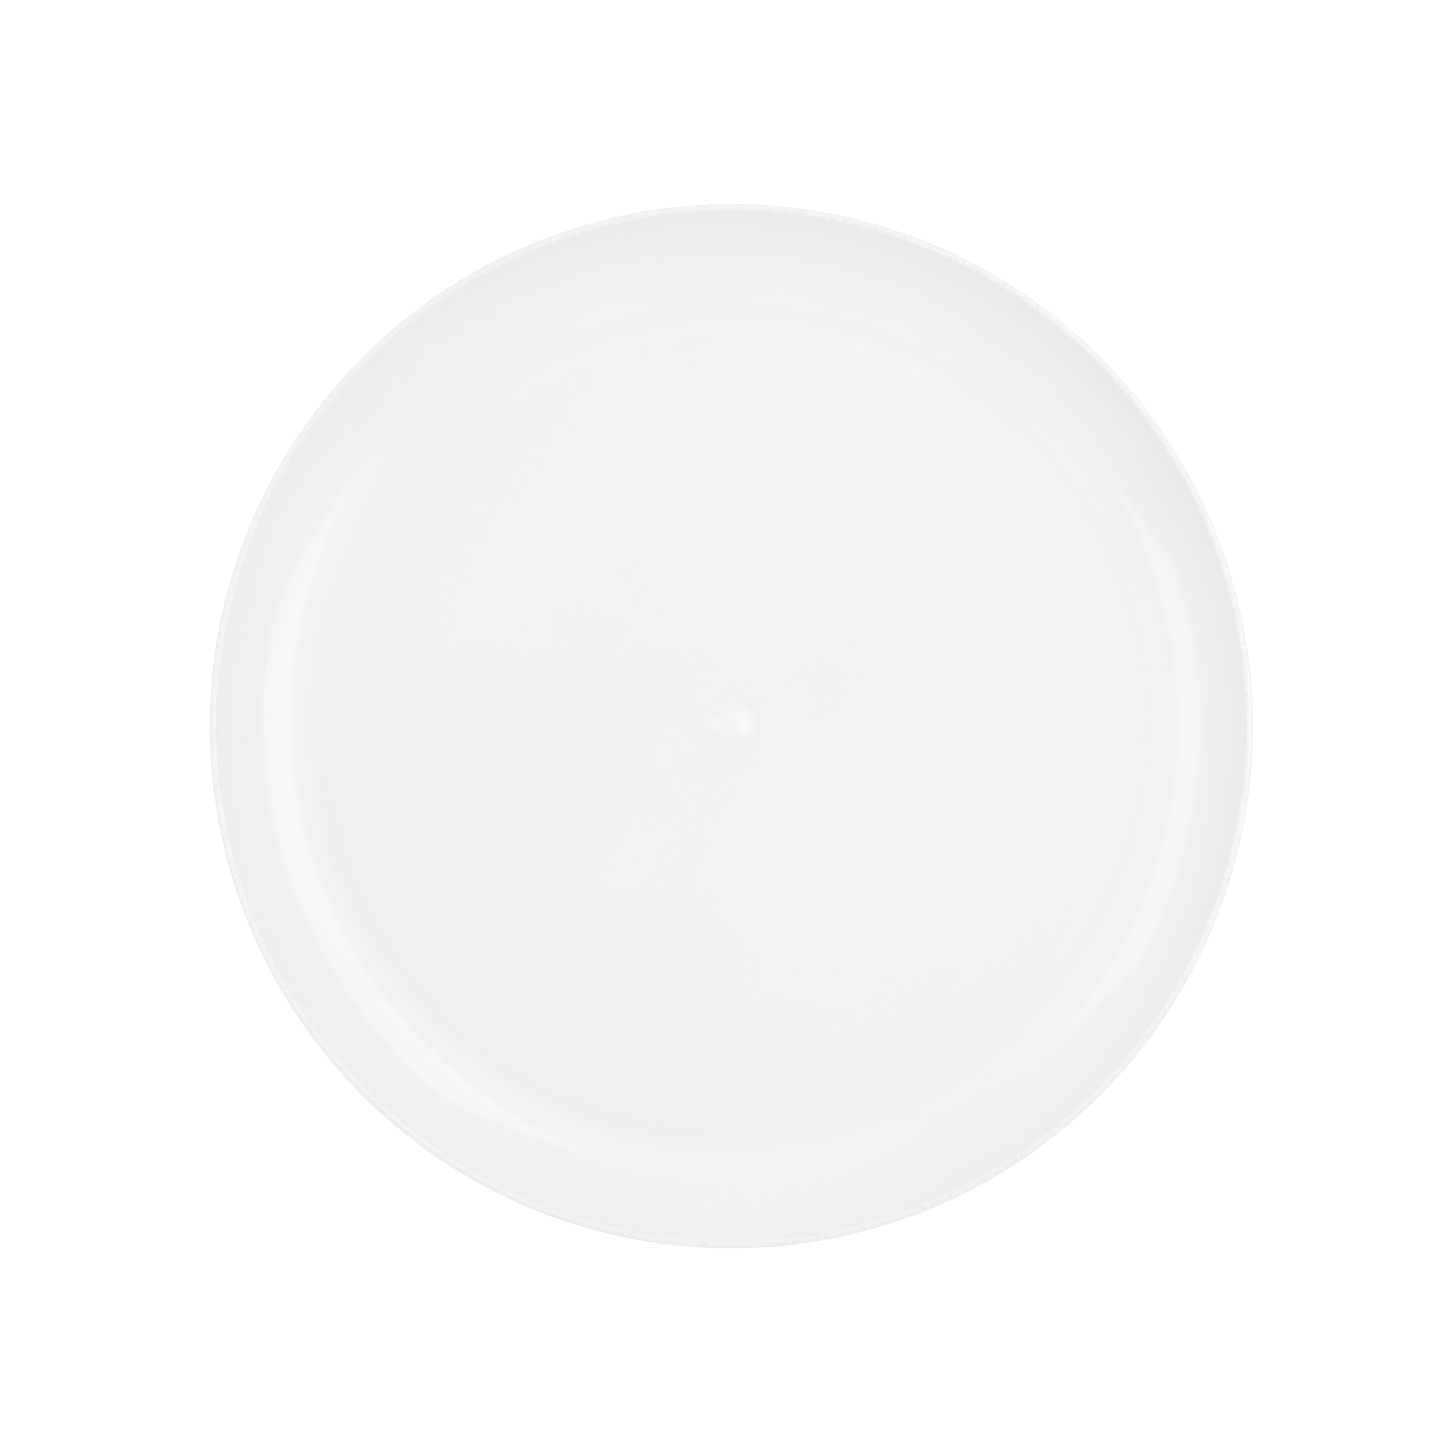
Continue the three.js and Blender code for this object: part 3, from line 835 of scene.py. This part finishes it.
# ---------------------------------------------------------------- feet
def make_foot(node):
    """A rubber disc with a hollow middle and two grooves in its underside."""
    low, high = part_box(node)
    centre = (low + high) / 2
    radius = (high.x - low.x) / 2
    hollow = radius * FOOT_HOLLOW_R
    corners = [(0, FOOT_HOLLOW_DEPTH), (hollow, FOOT_HOLLOW_DEPTH, 0.2), (hollow * 1.2, 0.0, 0.2)]
    for share in FOOT_GROOVES:
        corners += [
            (radius * share, 0.0, 0.12),
            (radius * (share + 0.025), FOOT_GROOVE_DEPTH, 0.1),
            (radius * (share + 0.06), FOOT_GROOVE_DEPTH, 0.1),
            (radius * (share + 0.085), 0.0, 0.12),
        ]
    corners += [(radius, 0.0, 0.8), (radius, high.z, 0.2), (0, high.z)]
    foot = turned(node + "_pad", eased(corners, steps=4), 72)
    foot.data.transform(Matrix.Translation((centre.x, centre.y, 0)))
    finished(foot, "base_body", "foot_rubber", RUBBER, node)


make_tray()
make_base()
make_cage()
for ball_joint in BALL_JOINTS:
    make_ball(ball_joint)
make_bush()
make_washer()
make_screw()
for foot_node in FEET:
    make_foot(foot_node)


# ---------------------------------------------------------------- stage
def make_floor():
    """A pale floor with a painted pool of light: lighter in colour near the object, and glowing for the
    camera round it, so that the camera sees it as white there.
    """
    s = Surface("studio_floor", 0.6)
    radius, _ = s.axial()
    far = s.spread(radius, 0.35, 2.2, 0, 1)  # metres from the axis, as in glow
    # painted pool of light: the floor's colour is lighter near the object and darker far from it
    colour = s.mix(far, grey(0.80), grey(0.74))
    soft = s.spread(s.noise(6, 4, 0.6), 0.3, 0.7, 0.55, 0.65)
    s.bump(s.noise(500, 3, 0.6), 20e-6)
    # painted light: the floor glows for camera rays only, fully within 0.3 m of the axis and gone by 1.2 m
    glow = s.spread(radius, 0.3, 1.2, FLOOR_GLOW, 0.0)
    seen = s.node("ShaderNodeLightPath").outputs["Is Camera Ray"]
    s.set({
        "Emission Color": (1, 1, 1, 1),
        "Emission Strength": s.math("MULTIPLY", glow, seen),
        "Specular IOR Level": 0.2,
    })
    rings = [circle(reach, FLOOR_Z, 96) for reach in (9.0, 4.0, 2.0, 1.0, 0.5, 0.2, 0)]
    floor = ringed("floor", rings)
    floor.data.materials.append(s.done(colour, soft))


def panel(name, place, turn, width, height, radiance):
    """A rectangular light that shines along its own -Z, turned by a quaternion, unseen by the camera."""
    light = bpy.data.lights.new(name, "AREA")
    light.shape = "RECTANGLE"
    light.size, light.size_y = width, height
    light.energy = radiance * math.pi * width * height
    made = linked(name, light)
    made.location = place
    made.rotation_mode = "QUATERNION"
    made.rotation_quaternion = turn
    made.visible_camera = False


def softbox(name, azimuth, reach, high, low, radiance, distance=1.2):
    """A light aimed at the dish. Seen from the dish it spans azimuth +- reach, measured from +X towards +Y,
    and from high to low degrees off the vertical."""
    a, t = math.radians(azimuth), math.radians((high + low) / 2)
    out = Vector((math.cos(a) * math.sin(t), math.sin(a) * math.sin(t), math.cos(t)))
    width = 2 * distance * math.sin(t) * math.tan(math.radians(reach))
    height = 2 * distance * math.tan(math.radians((low - high) / 2))
    place = Vector((0, 0, FLOOR_TOP)) + out * distance
    panel(name, place, out.to_track_quat("Z", "Y"), width, height, radiance)


def overhead(name, azimuth, edge, depth, width, height, radiance):
    """A faint panel flat above one half of the dish: its straight inner edge is at edge from the axis."""
    a = math.radians(azimuth)
    out = Vector((math.cos(a), math.sin(a), 0))
    place = out * (edge + depth / 2) + Vector((0, 0, height))
    panel(name, place, Quaternion((0, 0, 1), a), depth, width, radiance)


def make_world():
    """Even surroundings, brighter towards the horizon, with a slightly dimmer opening straight above."""
    world = bpy.data.worlds.new("studio")
    world.use_nodes = True
    tree = world.node_tree
    direction = add_node(tree, "ShaderNodeTexCoord").outputs["Generated"]
    height = add_node(tree, "ShaderNodeSeparateXYZ", {0: direction}).outputs["Z"]

    def by_height(low, high, to_low, to_high, **settings):
        values = {"Value": height, "From Min": low, "From Max": high, "To Min": to_low, "To Max": to_high}
        return add_node(tree, "ShaderNodeMapRange", values, **settings).outputs["Result"]

    walls = by_height(0, 1, WORLD_HORIZON, WORLD_TOP)
    near, far = (math.cos(math.radians(a)) for a in OPENING)
    opening = by_height(far, near, 0, WORLD_TOP - WORLD_OPENING, interpolation_type="SMOOTHSTEP")
    light = add_node(tree, "ShaderNodeMath", {0: walls, 1: opening}, operation="SUBTRACT").outputs[0]
    seen = add_node(tree, "ShaderNodeLightPath").outputs["Is Camera Ray"]
    ends = {0: seen, 2: light, 3: BACKDROP}  # 2 and 3 are the number inputs A and B
    shown = add_node(tree, "ShaderNodeMix", ends, data_type="FLOAT").outputs[0]
    fill(tree, tree.nodes["Background"], {"Strength": shown, "Color": (1, 1, 1, 1)})
    bpy.context.scene.world = world


make_floor()
softbox("key_wide", azimuth=20, reach=44, high=20, low=48, radiance=0.73)
softbox("key_core", azimuth=8, reach=20, high=26, low=51, radiance=0.33)
softbox("fill_left", azimuth=174, reach=29, high=30, low=54, radiance=0.78)
overhead("top_right", azimuth=36, edge=0.080, depth=0.5, width=1.2, height=1.02, radiance=0.19)
make_world()


# ---------------------------------------------------------------- camera
def make_camera():
    """The photo's view: almost straight down, tipped a little, with the dish filling most of the picture."""
    back = Vector((math.tan(math.radians(CAMERA_TILT_X)), math.tan(math.radians(CAMERA_TILT_Y)), 1))
    back.normalize()
    right = (Vector((0, 1, 0)).cross(back)).normalized()
    up = back.cross(right)
    place = CAMERA_AIM + back * CAMERA_DISTANCE
    camera = linked("camera", bpy.data.cameras.new("camera"))
    camera.data.sensor_width = SENSOR
    camera.data.lens = SENSOR * CAMERA_DISTANCE / (2 * RIM_R / DISH_SHARE)
    camera.data.clip_start, camera.data.clip_end = 0.01, 50
    camera.matrix_world = Matrix((
        (right.x, up.x, back.x, place.x),
        (right.y, up.y, back.y, place.y),
        (right.z, up.z, back.z, place.z),
        (0, 0, 0, 1),
    ))
    bpy.context.scene.camera = camera


make_camera()
bpy.context.scene.view_settings.view_transform = "Standard"
bpy.context.scene.view_settings.look = "None"
